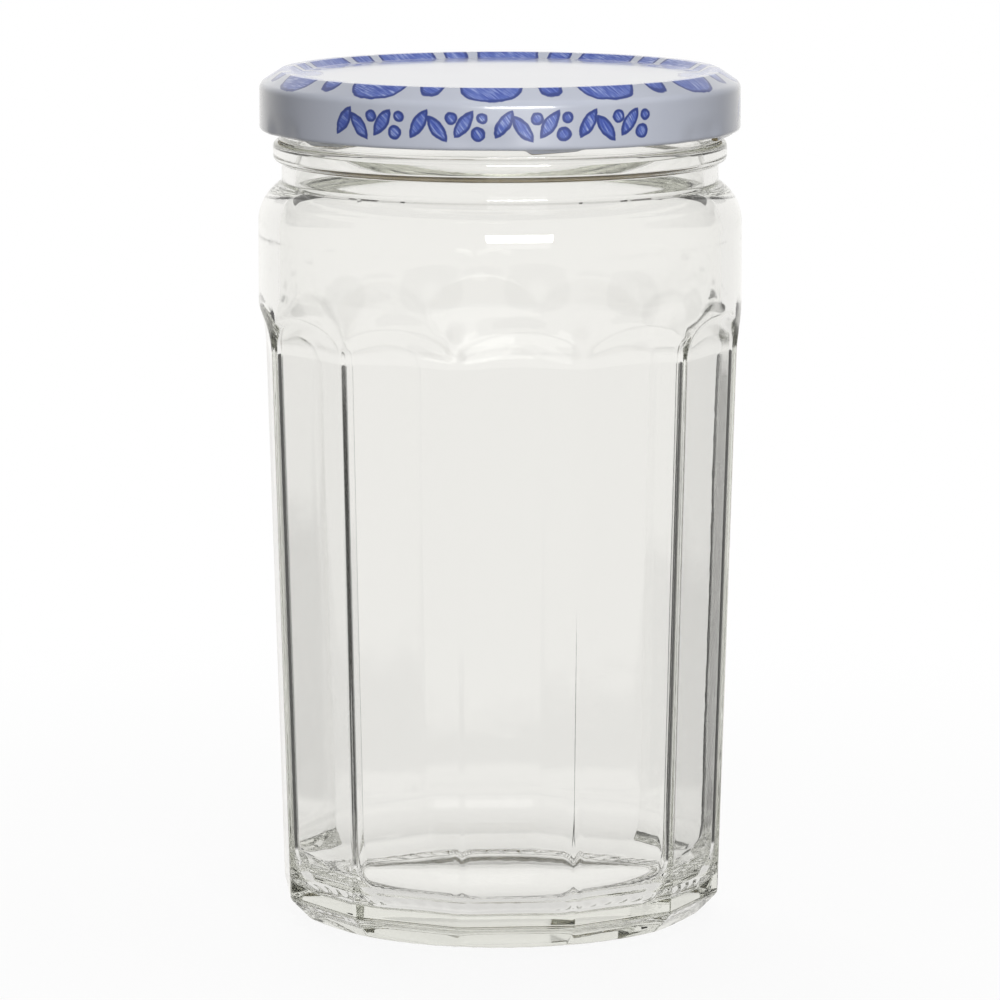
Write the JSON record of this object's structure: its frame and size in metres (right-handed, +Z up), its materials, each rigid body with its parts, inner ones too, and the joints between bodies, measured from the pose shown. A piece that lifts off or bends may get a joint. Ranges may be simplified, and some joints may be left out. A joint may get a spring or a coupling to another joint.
{
  "type": "jam pot",
  "caption": "Tall faceted glass jam pot with arched flat panels, closed by a round twist-off tinplate lid whose lugs screw down on the threaded mouth over a soft seal ring.",
  "frame": {"origin": "centre of the ring that the pot stands on, at table level", "axes": "+Z up along the pot's axis; -Y faces the middle of one flat panel and one lug of the closed lid"},
  "size_m": [0.0863, 0.0862, 0.1525],
  "materials": {
    "jar_glass": "clear pressed glass, fire polished",
    "lid_tinplate": "pale blue-grey enamel outside, gold lacquer inside",
    "seal_compound": "smooth moulded plastisol"
  },
  "bodies": {
    "pot": {"glass_jar": "jar_glass"},
    "seal": {"lid_seal": "seal_compound"},
    "lid": {"lid_shell": "lid_tinplate"}
  },
  "joints": [
    {"name": "lid_rise", "type": "slide", "parent": "pot", "child": "seal", "axis": [0, 0, 1], "range_m": [0, 0.018]},
    {"name": "lid_turn", "type": "hinge", "parent": "seal", "child": "lid", "pos_m": [0, 0, 0.1515], "axis": [0, 0, 1], "range_deg": [0, 360]}
  ],
  "couplings": [
    {"joint": "lid_rise", "follows": "lid_turn", "m_per_rad": 0.0028648}
  ]
}
